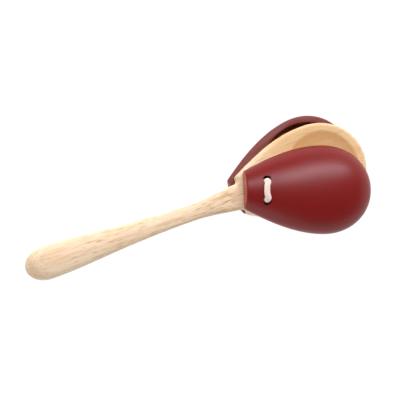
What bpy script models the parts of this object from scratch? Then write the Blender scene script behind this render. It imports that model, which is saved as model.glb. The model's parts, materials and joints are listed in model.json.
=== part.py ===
"""Handle castanet: a turned handle with a clapper paddle, two hollow shells and a laced elastic.

Units are metres. +X runs from the handle's butt to the head's tip, +Z is the front face of the
paddle, and the origin lies on the handle's axis in the middle of the grip. The shells stand as a
played castanet lies: closed on the paddle, but slipped and fanned a little on their elastic.
"""
import math

import bmesh
import bpy
from mathutils import Matrix, Vector

MM = 0.001

# Head outline, shared by the paddle and both shells and measured from the straight-cut neck
HEAD_LENGTH = 69.2 * MM
HEAD_WIDTH = 47.0 * MM
WIDEST_FROM_NECK = 43.2 * MM
NECK_WIDTH = 19.8 * MM
NECK_FLARE = 0.53
NOSE_EXPONENT = 2.06

# Paddle, a little larger than the shells that strike it, by a lip that narrows at the neck
PADDLE_THICKNESS = 10.0 * MM
PADDLE_LIP = 0.95 * MM
PADDLE_NECK_LIP = 0.45 * MM
PADDLE_EDGE_ROUND = 1.8 * MM
DISH_DIAMETER = 40.4 * MM
DISH_DEPTH = 3.0 * MM
DISH_FROM_NECK = 45.8 * MM

# Handle, turned round, with its sizes measured along the axis from the butt
HANDLE_LENGTH = 121.1 * MM
GRIP_FROM_BUTT = 60.0 * MM
BULB_LENGTH = 11.5 * MM
BULB_DIAMETER = 17.2 * MM
GRIP_DIAMETER = 10.6 * MM
WAIST_FROM_NECK = 29.0 * MM
WAIST_DIAMETER = 8.4 * MM
NECK_DIAMETER = 14.5 * MM
NECK_SWELL = 0.12
HANDLE_RUN_IN = 4.0 * MM

# Shells, domed outside and scooped out inside
DOME_HEIGHT = 14.8 * MM
NECK_DOME_HEIGHT = 7.1 * MM
RIM_WIDTH = 3.4 * MM
SOLID_NECK = 17.8 * MM
HOLLOW_DEPTH = 10.8 * MM

# Elastic lacing
LACING_FROM_NECK = 10.3 * MM
LACING_SPACING = 11.0 * MM
SHELL_HOLE_DIAMETER = 4.2 * MM
STITCH_DIAMETER = 3.1 * MM
LEG_DIAMETER = 2.6 * MM
KNOT_HEIGHT = 4.4 * MM

# How the shells have slipped and fanned on the elastic
FRONT_FAN = math.radians(-17.9)
FRONT_SLIP = Vector((-0.5, -0.7, 0.0)) * MM
BACK_FAN = math.radians(8.4)
BACK_SLIP = Vector((-2.0, 1.9, 0.0)) * MM

# Clearance between pieces that touch, and a hair's step where two cuts would share a plane
CLEARANCE = 0.3 * MM
HAIR = 0.05 * MM

FLANK_STEPS = 16
NOSE_STEPS = 14
DOME_STEPS = 18
TURNED_STEPS = 44
PROFILE_STEPS = 9

NECK_X = HANDLE_LENGTH - GRIP_FROM_BUTT
LACING_X = NECK_X + LACING_FROM_NECK
RIM_Z = PADDLE_THICKNESS / 2 + CLEARANCE
KNOT_DIAMETER = LACING_SPACING - SHELL_HOLE_DIAMETER - 2 * CLEARANCE


def clear_scene():
    for obj in list(bpy.data.objects):
        bpy.data.objects.remove(obj, do_unlink=True)


def finish(name, colour, roughness):
    """A Principled finish named for the piece that wears it."""
    material = bpy.data.materials.new(name)
    material.use_nodes = True
    shader = material.node_tree.nodes["Principled BSDF"]
    shader.inputs["Base Color"].default_value = (*colour, 1.0)
    shader.inputs["Roughness"].default_value = roughness
    shader.inputs["Metallic"].default_value = 0.0
    return material


def add_object(name, data):
    obj = bpy.data.objects.new(name, data)
    bpy.context.scene.collection.objects.link(obj)
    return obj


def add_solid(name, bm):
    """A mesh object from a bmesh, with its faces turned outwards."""
    bmesh.ops.recalc_face_normals(bm, faces=bm.faces)
    mesh = bpy.data.meshes.new(name)
    bm.to_mesh(mesh)
    bm.free()
    return add_object(name, mesh)


def add_cutter(name, bm):
    """A guide solid that shapes another piece and isn't a piece itself."""
    cutter = add_solid(name, bm)
    cutter.hide_render = True
    cutter.display_type = 'WIRE'
    return cutter


def combine(obj, other, operation):
    modifier = obj.modifiers.new(other.name, 'BOOLEAN')
    modifier.operation = operation
    modifier.solver = 'EXACT'
    modifier.object = other


def smooth(mesh, angle=math.radians(35)):
    mesh.shade_smooth()
    mesh.set_sharp_from_angle(angle=angle)


def hermite(x, start, end):
    """Cubic between two (x, value, slope) points."""
    (x0, y0, m0), (x1, y1, m1) = start, end
    span = x1 - x0
    t = (x - x0) / span
    rise = (2 * t**3 - 3 * t**2 + 1) * y0 + (3 * t**2 - 2 * t**3) * y1
    return rise + span * ((t**3 - 2 * t**2 + t) * m0 + (t**3 - t**2) * m1)


def half_width(x, lip=0.0, neck_lip=0.0):
    """Half the head's width at x from the neck, with its edge moved out by lip, and neck_lip there."""
    widest = HEAD_WIDTH / 2 + lip
    if x <= WIDEST_FROM_NECK:
        neck = (0.0, NECK_WIDTH / 2 + neck_lip, NECK_FLARE)
        return hermite(x, neck, (WIDEST_FROM_NECK, widest, 0.0))
    reach = (x - WIDEST_FROM_NECK) / (HEAD_LENGTH + lip - WIDEST_FROM_NECK)
    return widest * max(0.0, 1 - reach**NOSE_EXPONENT) ** (1 / NOSE_EXPONENT)


def head_stations(lip=0.0):
    """Places along the head from the neck to just short of the tip, closer together at the nose."""
    nose = HEAD_LENGTH + lip - WIDEST_FROM_NECK
    flank = [WIDEST_FROM_NECK * i / FLANK_STEPS for i in range(FLANK_STEPS)]
    turns = [math.pi / 2 * i / NOSE_STEPS for i in range(NOSE_STEPS)]
    return flank + [WIDEST_FROM_NECK + nose * math.sin(turn) for turn in turns]


def dome_height(x):
    """Height of the shell's ridge above its rim at x from the neck."""
    if x <= WIDEST_FROM_NECK:
        rise = math.sin(math.pi / 2 * x / WIDEST_FROM_NECK)
        return NECK_DOME_HEIGHT + (DOME_HEIGHT - NECK_DOME_HEIGHT) * rise
    reach = (x - WIDEST_FROM_NECK) / (HEAD_LENGTH - WIDEST_FROM_NECK)
    return DOME_HEIGHT * math.sqrt(max(0.0, 1 - reach**2))


def dome_surface(x, y):
    """Height of the shell's outside above its rim."""
    return dome_height(x) * math.sqrt(max(0.0, 1 - (y / half_width(x)) ** 2))


def turned(profile, steps=TURNED_STEPS):
    """A solid of revolution about Z from (z, radius) points that start and end on the axis."""
    bm = bmesh.new()
    ends = [bm.verts.new((0, 0, profile[i][0])) for i in (0, -1)]
    rings = []
    for z, radius in profile[1:-1]:
        turns = [2 * math.pi * i / steps for i in range(steps)]
        rings.append([bm.verts.new((radius * math.cos(a), radius * math.sin(a), z)) for a in turns])
    for i in range(steps):
        j = (i + 1) % steps
        bm.faces.new((ends[0], rings[0][j], rings[0][i]))
        bm.faces.new((ends[1], rings[-1][i], rings[-1][j]))
        for low, high in zip(rings, rings[1:]):
            bm.faces.new((low[i], low[j], high[j], high[i]))
    return bm


def rod(radius, low, high, steps=24):
    """A plain cylinder about Z."""
    return turned([(low, 0.0), (low, radius), (high, radius), (high, 0.0)], steps)


def handle_profile():
    """(distance from butt, radius) along the turned handle: bulb, taper, waist and swelling neck."""
    bulb = BULB_DIAMETER / 2
    grip = (GRIP_FROM_BUTT, GRIP_DIAMETER / 2)
    waist = (HANDLE_LENGTH - WAIST_FROM_NECK, WAIST_DIAMETER / 2)
    neck = (HANDLE_LENGTH, NECK_DIAMETER / 2)
    taper = (waist[1] - bulb) / (waist[0] - BULB_LENGTH)
    knots = [(BULB_LENGTH, bulb, 0.0), (*grip, taper), (*waist, 0.0), (*neck, NECK_SWELL)]
    profile = [(0.0, 0.0)]
    for i in range(1, PROFILE_STEPS):
        turn = math.pi / 2 * i / PROFILE_STEPS
        profile.append((BULB_LENGTH * (1 - math.cos(turn)), bulb * math.sin(turn)))
    for start, end in zip(knots, knots[1:]):
        for i in range(PROFILE_STEPS):
            x = start[0] + (end[0] - start[0]) * i / PROFILE_STEPS
            profile.append((x, hermite(x, start, end)))
    profile.append(neck)
    profile.append((HANDLE_LENGTH + HANDLE_RUN_IN, neck[1]))
    profile.append((HANDLE_LENGTH + HANDLE_RUN_IN, 0.0))
    return profile


def make_handle_blank():
    """The turned handle, planed flat at the neck so that the shells can swing past it."""
    bm = turned(handle_profile())
    bmesh.ops.transform(bm, verts=bm.verts, matrix=Matrix.Rotation(math.pi / 2, 4, 'Y'))
    bmesh.ops.translate(bm, verts=bm.verts, vec=(-GRIP_FROM_BUTT, 0, 0))
    blank = add_cutter("handle_blank", bm)
    depth = NECK_DIAMETER
    length = WAIST_FROM_NECK + 2 * HANDLE_RUN_IN
    for side, sign in (("front", 1), ("back", -1)):
        bm = bmesh.new()
        bmesh.ops.create_cube(bm, size=1.0)
        bmesh.ops.scale(bm, verts=bm.verts, vec=(length, 2 * NECK_DIAMETER, depth))
        place = (NECK_X - WAIST_FROM_NECK + length / 2, 0, sign * (PADDLE_THICKNESS / 2 - HAIR + depth / 2))
        bmesh.ops.translate(bm, verts=bm.verts, vec=place)
        combine(blank, add_cutter(f"{side}_neck_flat", bm), 'DIFFERENCE')
    return blank


def paddle_plate():
    """The paddle's plain plate, with its neck on the YZ plane."""
    stations = head_stations(PADDLE_LIP)
    outline = [(x, half_width(x, PADDLE_LIP, PADDLE_NECK_LIP)) for x in stations]
    outline += [(HEAD_LENGTH + PADDLE_LIP, 0.0)]
    outline += [(x, -y) for x, y in reversed(outline[:-1])]
    bm = bmesh.new()
    base = bm.faces.new([bm.verts.new((x, y, -PADDLE_THICKNESS / 2)) for x, y in outline])
    top = bmesh.ops.extrude_face_region(bm, geom=[base])["geom"]
    corners = [item for item in top if isinstance(item, bmesh.types.BMVert)]
    bmesh.ops.translate(bm, verts=corners, vec=(0, 0, PADDLE_THICKNESS))
    return bm


def dish_cutter(sign):
    """A ball that scoops a shallow round dish into one face of the paddle."""
    radius = (DISH_DIAMETER**2 / 4 + DISH_DEPTH**2) / (2 * DISH_DEPTH)
    bm = bmesh.new()
    bmesh.ops.create_uvsphere(bm, u_segments=TURNED_STEPS, v_segments=2 * TURNED_STEPS, radius=radius)
    height = sign * (PADDLE_THICKNESS / 2 - DISH_DEPTH + radius)
    bmesh.ops.translate(bm, verts=bm.verts, vec=(NECK_X + DISH_FROM_NECK, 0, height))
    return bm


def lacing_points(fan, slip):
    """World places of a shell's left and right lacing holes, on the paddle's mid plane."""
    centre = Vector((LACING_X, 0, 0)) + slip
    turn = Matrix.Rotation(fan, 3, 'Z')
    return [centre + turn @ Vector((0, side * LACING_SPACING / 2, 0)) for side in (1, -1)]


def paddle_holes():
    """Centres and radius of the paddle's holes, wide enough for the elastic to lean with the shells."""
    ends = [*lacing_points(FRONT_FAN, FRONT_SLIP), *lacing_points(BACK_FAN, BACK_SLIP)]
    x = sum(end.x for end in ends) / len(ends)
    y = sum(abs(end.y) for end in ends) / len(ends)
    centres = [Vector((x, y, 0)), Vector((x, -y, 0))]
    reach = max((end - centres[i % 2]).length for i, end in enumerate(ends))
    return centres, reach + LEG_DIAMETER / 2 + CLEARANCE


def make_handle_with_paddle(material):
    bm = paddle_plate()
    bmesh.ops.translate(bm, verts=bm.verts, vec=(NECK_X, 0, 0))
    paddle = add_solid("handle_with_paddle", bm)
    edge = paddle.modifiers.new("edge_round", 'BEVEL')
    edge.width = PADDLE_EDGE_ROUND
    edge.segments = 3
    edge.angle_limit = math.radians(40)
    combine(paddle, make_handle_blank(), 'UNION')
    for side, sign in (("front", 1), ("back", -1)):
        combine(paddle, add_cutter(f"{side}_dish", dish_cutter(sign)), 'DIFFERENCE')
    centres, radius = paddle_holes()
    for side, centre in zip(("left", "right"), centres):
        bm = rod(radius, -PADDLE_THICKNESS, PADDLE_THICKNESS)
        bmesh.ops.translate(bm, verts=bm.verts, vec=centre)
        combine(paddle, add_cutter(f"{side}_paddle_hole", bm), 'DIFFERENCE')
    smooth(paddle.data)
    paddle.data.materials.append(material)
    return paddle


def dome():
    """A shell before it is scooped out: outline below, elliptical sections above, straight-cut neck."""
    bm = bmesh.new()
    rows = []
    for x in head_stations():
        turns = [math.pi * j / DOME_STEPS for j in range(DOME_STEPS + 1)]
        width, height = half_width(x), dome_height(x)
        rows.append([bm.verts.new((x, width * math.cos(a), height * math.sin(a))) for a in turns])
    tip = bm.verts.new((HEAD_LENGTH, 0, 0))
    for near, far in zip(rows, rows[1:]):
        for j in range(DOME_STEPS):
            bm.faces.new((near[j], far[j], far[j + 1], near[j + 1]))
    for j in range(DOME_STEPS):
        bm.faces.new((rows[-1][j], tip, rows[-1][j + 1]))
    bm.faces.new(rows[0])
    bm.faces.new([row[0] for row in rows] + [tip] + [row[-1] for row in reversed(rows)])
    return bm


def hollow():
    """The scoop: a half egg below the rim plane's outline, longer towards the neck than the nose."""
    bm = bmesh.new()
    bmesh.ops.create_uvsphere(bm, u_segments=TURNED_STEPS, v_segments=DOME_STEPS, radius=1.0)
    wide = HEAD_WIDTH / 2 - RIM_WIDTH
    back = WIDEST_FROM_NECK - SOLID_NECK
    front = HEAD_LENGTH - RIM_WIDTH - WIDEST_FROM_NECK
    for vert in bm.verts:
        stretch = front if vert.co.x > 0 else back
        vert.co = (WIDEST_FROM_NECK + vert.co.x * stretch, vert.co.y * wide, vert.co.z * HOLLOW_DEPTH)
    return bm


def make_shell_mesh():
    """One shell with its neck edge on the Y axis and its rim on the XY plane, dome up."""
    blank = add_cutter("shell_blank", dome())
    combine(blank, add_cutter("shell_hollow", hollow()), 'DIFFERENCE')
    for side, sign in (("left", 1), ("right", -1)):
        bm = rod(SHELL_HOLE_DIAMETER / 2, -DOME_HEIGHT, 2 * DOME_HEIGHT)
        bmesh.ops.translate(bm, verts=bm.verts, vec=(LACING_FROM_NECK, sign * LACING_SPACING / 2, 0))
        combine(blank, add_cutter(f"{side}_shell_hole", bm), 'DIFFERENCE')
    graph = bpy.context.evaluated_depsgraph_get()
    mesh = bpy.data.meshes.new_from_object(blank.evaluated_get(graph))
    mesh.name = "shell"
    smooth(mesh)
    return mesh


def make_swivel(name, fan, slip, facing):
    """An empty on a shell's swivel axis, with its Z pointing away from the paddle."""
    swivel = add_object(name, None)
    turn = Matrix.Rotation(fan, 4, 'Z')
    flip = Matrix.Rotation(math.pi if facing < 0 else 0.0, 4, 'X')
    swivel.matrix_world = Matrix.Translation(Vector((LACING_X, 0, 0)) + slip) @ turn @ flip
    return swivel


def make_shell(name, mesh, swivel, material):
    shell = add_object(name, mesh.copy())
    shell.parent = swivel
    shell.location = (-LACING_FROM_NECK, 0, RIM_Z)
    shell.data.materials.clear()
    shell.data.materials.append(material)
    return shell


def add_cord(name, points, diameter, parent, material):
    """A round cord through points given in its parent's space."""
    curve = bpy.data.curves.new(name, 'CURVE')
    curve.dimensions = '3D'
    curve.bevel_depth = diameter / 2
    curve.bevel_resolution = 2
    curve.use_fill_caps = True
    spline = curve.splines.new('POLY')
    spline.points.add(len(points) - 1)
    for target, point in zip(spline.points, points):
        target.co = (*point, 1.0)
    curve.materials.append(material)
    cord = add_object(name, curve)
    cord.parent = parent
    return cord


def cord_line(y):
    """Height of a cord's middle above the paddle's mid plane, where it lies across the shell."""
    step = HAIR
    slope = (dome_height(LACING_FROM_NECK + step) - dome_height(LACING_FROM_NECK)) / step
    lift = (STITCH_DIAMETER / 2 + CLEARANCE) * math.hypot(1.0, slope)
    return RIM_Z + dome_surface(LACING_FROM_NECK, y) + lift


def hole_bend(steps=6):
    """Cord points on one side, up a shell hole and over its edge, from the rim to the dome."""
    radius = SHELL_HOLE_DIAMETER / 2
    out = LACING_SPACING / 2
    crest = cord_line(out - radius)
    points = [Vector((0, out, RIM_Z + CLEARANCE / 2))]
    for i in range(steps + 1):
        turn = math.pi / 2 * i / steps
        points.append(Vector((0, out - radius * (1 - math.cos(turn)), crest - radius * (1 - math.sin(turn)))))
    return points


def mirrored(points):
    return [Vector((point.x, -point.y, point.z)) for point in reversed(points)]


def make_front_stitch(swivel, material, steps=6):
    """The white stitch that shows across the front shell, with its two ends down the holes."""
    rise = hole_bend()
    edge = rise[-1].y
    across = [edge - 2 * edge * i / steps for i in range(1, steps)]
    points = rise + [Vector((0, y, cord_line(y))) for y in across] + mirrored(rise)
    return add_cord("elastic_front_stitch", points, STITCH_DIAMETER, swivel, material)


def make_knot(swivel, material):
    """The tied ends on the back shell: a flattened knot between the holes, lying on the dome."""
    step = HAIR
    rise = dome_height(LACING_FROM_NECK + step) - dome_height(LACING_FROM_NECK)
    lean = math.atan2(rise, step)
    half = KNOT_HEIGHT / 2
    profile = []
    for i in range(DOME_STEPS // 2 + 1):
        turn = math.pi * i / (DOME_STEPS // 2)
        profile.append((-half * math.cos(turn), KNOT_DIAMETER / 2 * math.sin(turn) ** 0.7))
    knot = add_solid("elastic_knot", turned(profile, steps=24))
    seat = Vector((0, 0, RIM_Z + dome_height(LACING_FROM_NECK)))
    normal = Vector((-math.sin(lean), 0, math.cos(lean)))
    knot.parent = swivel
    knot.location = seat + normal * (half + CLEARANCE)
    knot.rotation_euler = (0, -lean, 0)
    smooth(knot.data)
    knot.data.materials.append(material)
    return knot


def make_back_ends(swivel, material):
    """The elastic's two ends, up the back shell's holes and over to the knot."""
    rise = hole_bend()
    add_cord("elastic_back_left_end", mirrored(rise), STITCH_DIAMETER, swivel, material)
    add_cord("elastic_back_right_end", rise, STITCH_DIAMETER, swivel, material)


def make_legs(front, back, material):
    """The elastic where it leans through the paddle, from each shell's holes to the mid plane."""
    front_ends = lacing_points(FRONT_FAN, FRONT_SLIP)
    back_ends = lacing_points(BACK_FAN, BACK_SLIP)
    outer = RIM_Z - CLEARANCE / 2
    inner = CLEARANCE / 2
    for side, high, low in zip(("left", "right"), front_ends, back_ends):
        middle = (high + low) / 2
        for face, swivel, end, sign in (("front", front, high, 1), ("back", back, low, -1)):
            to_local = swivel.matrix_world.inverted()
            upright = Vector((0, 0, sign * LEG_DIAMETER / 4))
            rim = Vector((end.x, end.y, sign * outer))
            core = Vector((middle.x, middle.y, sign * inner))
            points = [to_local @ point for point in (rim, rim - upright, core + upright, core)]
            add_cord(f"elastic_{face}_{side}_leg", points, LEG_DIAMETER, swivel, material)


def main():
    clear_scene()
    pale_wood = finish("pale_hardwood", (0.82, 0.62, 0.42), 0.55)
    red_lacquer = finish("dark_red_lacquer", (0.24, 0.022, 0.020), 0.40)
    elastic = finish("white_braided_elastic", (0.86, 0.76, 0.70), 0.80)
    make_handle_with_paddle(pale_wood)
    shell = make_shell_mesh()
    front = make_swivel("front_swivel_axis", FRONT_FAN, FRONT_SLIP, 1)
    back = make_swivel("back_swivel_axis", BACK_FAN, BACK_SLIP, -1)
    bpy.context.view_layer.update()
    make_shell("front_shell", shell, front, red_lacquer)
    make_shell("back_shell", shell, back, red_lacquer)
    make_front_stitch(front, elastic)
    make_back_ends(back, elastic)
    make_knot(back, elastic)
    make_legs(front, back, elastic)


main()
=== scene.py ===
"""Looks of the handle castanet: fine surfaces, wood, lacquer and braided elastic over its solids.

Units are metres, and mm stands for a millimetre. +X runs from the handle's butt to the head's tip
and +Z out of the paddle's front face, as in the solids that the frame holds.
"""
import json
import math

import bmesh
import bpy
from mathutils import Matrix, Vector


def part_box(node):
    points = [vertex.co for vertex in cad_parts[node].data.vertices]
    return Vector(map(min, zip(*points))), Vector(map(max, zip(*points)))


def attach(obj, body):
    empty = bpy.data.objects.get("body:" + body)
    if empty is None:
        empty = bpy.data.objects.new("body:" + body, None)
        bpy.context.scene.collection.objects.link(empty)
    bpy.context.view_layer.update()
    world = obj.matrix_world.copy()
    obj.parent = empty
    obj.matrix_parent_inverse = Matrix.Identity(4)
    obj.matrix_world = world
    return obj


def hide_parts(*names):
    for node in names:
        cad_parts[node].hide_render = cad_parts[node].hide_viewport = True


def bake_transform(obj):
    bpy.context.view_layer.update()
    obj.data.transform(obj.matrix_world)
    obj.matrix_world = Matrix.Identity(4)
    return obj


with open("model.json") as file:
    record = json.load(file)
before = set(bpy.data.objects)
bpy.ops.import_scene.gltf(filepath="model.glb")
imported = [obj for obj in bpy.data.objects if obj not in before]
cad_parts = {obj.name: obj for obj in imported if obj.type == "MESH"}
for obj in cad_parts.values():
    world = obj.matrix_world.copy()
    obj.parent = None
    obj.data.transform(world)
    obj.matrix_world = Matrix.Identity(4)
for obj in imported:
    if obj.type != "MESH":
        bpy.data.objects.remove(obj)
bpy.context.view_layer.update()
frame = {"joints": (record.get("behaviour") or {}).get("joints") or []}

mm = 0.001

# Head outline, shared by the paddle and both shells and measured from the straight-cut neck
HEAD_LENGTH = 69.2 * mm
HEAD_WIDTH = 47.0 * mm
WIDEST_FROM_NECK = 43.2 * mm
NECK_WIDTH = 19.8 * mm
NECK_FLARE = 0.53
NOSE_EXPONENT = 2.06

# Paddle
PADDLE_THICKNESS = 10.0 * mm
PADDLE_LIP = 0.95 * mm
PADDLE_NECK_LIP = 0.45 * mm
PADDLE_EDGE_ROUND = 1.8 * mm
PADDLE_NECK_ROUND = 0.6 * mm
PADDLE_NECK_CORNER = 0.7 * mm
DISH_DIAMETER = 40.4 * mm
DISH_DEPTH = 3.0 * mm
DISH_FROM_NECK = 45.8 * mm
DISH_EDGE_SOFTNESS = 0.25 * mm
PADDLE_HOLE_DIAMETER = 8.5 * mm
PADDLE_HOLE_STRETCH = 1.3
PADDLE_HOLE_EDGE = 0.5 * mm

# Handle, with its sizes measured along the axis from the butt
HANDLE_LENGTH = 121.1 * mm
BULB_LENGTH = 11.5 * mm
BULB_DIAMETER = 17.2 * mm
GRIP_DIAMETER = 10.6 * mm
WAIST_FROM_NECK = 29.0 * mm
WAIST_DIAMETER = 8.4 * mm
NECK_DIAMETER = 14.5 * mm
NECK_SWELL = 0.12
NECK_FILLET = 2.6 * mm
HANDLE_RUN_IN = 4.0 * mm
FLAT_SOFTNESS = 0.25 * mm

# Shells
DOME_HEIGHT = 14.8 * mm
NECK_DOME_HEIGHT = 7.1 * mm
RIM_WIDTH = 3.4 * mm
RIM_EDGE_ROUND = 0.5 * mm
NECK_EDGE_ROUND = 0.6 * mm
SOLID_NECK = 17.8 * mm
HOLLOW_DEPTH = 10.8 * mm
HOLLOW_EDGE_ROUND = 0.5 * mm
NOSE_FULLNESS = 0.3

# Elastic lacing
LACING_FROM_NECK = 10.3 * mm
LACING_SPACING = 11.0 * mm
LACING_OFFSET = -0.8 * mm
SHELL_HOLE_DIAMETER = 4.2 * mm
SHELL_HOLE_EDGE = 0.35 * mm
CORD_DIAMETER = 3.35 * mm
CORD_LEAN = 0.8 * mm
CORD_SHIFT = -0.1 * mm
CORD_SAG = 0.7 * mm
CORD_WAIST = 0.05
WAIST_START = 0.03
WAIST_END = 0.13
KNOT_CORD_DIAMETER = 2.3 * mm
CLEARANCE = 0.3 * mm

# Braid, with its radii as shares of the cord's diameter, and its slant as the run round the sheath for
# each unit along it
STRANDS_EACH_WAY = 8
STRAND_SHARE = 0.115
WEAVE_SHARE = 0.035
BRAID_SLANT = 0.9
STRAND_SIDES = 6
CORE_SIDES = 20
POINTS_PER_DIAMETER = 16

# Shares of the way from the mid plane to a shell's rim where a leg of the elastic starts, leans over
# and stands upright
LEG_START, LEG_LEAN, LEG_UPRIGHT = 0.03, 0.25, 0.8

# Marks of a shell's faces: the dome keeps the plain lacquer, the rim has painted reflection and shade,
# the hollow painted bounce light and the neck's cut face painted reflection
SHELL_ZONES = DOME_ZONE, RIM_ZONE, HOLLOW_ZONE, NECK_ZONE = 0, 1, 2, 3

# Fineness of the meshes
FLANK_STEPS = 64
NOSE_STEPS = 96
DOME_ROWS = 40
ROUND_STEPS = 8
TURNED_STEPS = 112
PROFILE_STEPS = 28
HOLE_STEPS = 72
HOLLOW_STEPS = 160
DISH_RINGS = 36
DISH_CROWDING = 1.3
PATH_STEPS = 10
SLOPE_STEP = 0.05 * mm
SHARP_ANGLE = math.radians(32)

# Camera: a long lens above the castanet, tilted towards the butt and rolled so that the handle climbs
CAMERA_TILT = math.radians(14.84)
CAMERA_BEARING = math.radians(180.7)
CAMERA_ROLL = math.radians(18.89)
CAMERA_DISTANCE = 991.7 * mm
CAMERA_AIM = Vector((40.8, 5.05, -8.3)) * mm
CAMERA_LENS = 169.6

# Light of the room and of the sweep, which is lit from below, and the share of plain white in its looks
ROOM_LEVEL = 0.11
FLOOR_GLOW = 0.70
SWEEP_WHITENESS = 0.96

# Sweep under the castanet, with a gap between its floor and the back shell at its most open
FLOOR_GAP = 3.0 * mm
FLOOR_RADIUS = 1.6
SWEEP_RISE = 0.7
SWEEP_STEPS = 12
SWEEP_SIDES = 96

joints = {joint["name"]: joint for joint in frame["joints"]}
head_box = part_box("handle_with_paddle")
BUTT_X = head_box[0].x
NECK_X = BUTT_X + HANDLE_LENGTH
RIM_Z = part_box("front_shell")[0].z


def linear(hex_colour):
    """An sRGB hex colour as linear RGBA."""
    channels = [int(hex_colour[i:i + 2], 16) / 255 for i in (1, 3, 5)]
    curve = [c / 12.92 if c <= 0.04045 else ((c + 0.055) / 1.055) ** 2.4 for c in channels]
    return (*curve, 1.0)


def add_node(tree, kind, inputs=None, **settings):
    """Adds a node with its settings. Each input takes a value or another node's output socket."""
    node = tree.nodes.new(kind)
    for name, value in settings.items():
        setattr(node, name, value)
    for key, value in (inputs or {}).items():
        if isinstance(value, bpy.types.NodeSocket):
            tree.links.new(value, node.inputs[key])
        else:
            node.inputs[key].default_value = value
    return node


def new_material(name):
    """A material with an empty node tree, and that tree."""
    material = bpy.data.materials.new(name)
    material.use_nodes = True
    material.node_tree.nodes.clear()
    return material, material.node_tree


def grain_pattern(tree, length, width, detail):
    """A noise pattern whose features are length long along the handle and width wide across it."""
    place = add_node(tree, "ShaderNodeTexCoord")
    scaled = add_node(tree, "ShaderNodeMapping", {
        "Vector": place.outputs["Object"], "Scale": (1 / length, 1 / width, 1 / width)})
    return add_node(tree, "ShaderNodeTexNoise", {
        "Vector": scaled.outputs[0], "Scale": 1.0, "Detail": detail}).outputs["Fac"]


def stained(tree, ground, stain, value, start, end, most=1.0):
    """A ground colour with a stain over it, from none where a value is start to the share most at end."""
    share = add_node(tree, "ShaderNodeMapRange", {
        "Value": value, "From Min": start, "From Max": end, "To Max": most},
        interpolation_type='SMOOTHSTEP')
    return add_node(tree, "ShaderNodeMix", {
        0: share.outputs[0], 6: ground, 7: stain}, data_type='RGBA').outputs[2]


def stretch_of_wood(tree, along, rise, fall):
    """A share that rises over one stretch of the handle's axis and falls over a later one.

    Each stretch is (start, end, amount), with start and end measured from the neck.
    """
    shares = [add_node(tree, "ShaderNodeMapRange", {
        "Value": along, "From Min": NECK_X + start, "From Max": NECK_X + end, "To Max": amount},
        interpolation_type='SMOOTHSTEP').outputs[0] for start, end, amount in (rise, fall)]
    return add_node(tree, "ShaderNodeMath", {0: shares[0], 1: shares[1]}, operation='SUBTRACT').outputs[0]


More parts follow.
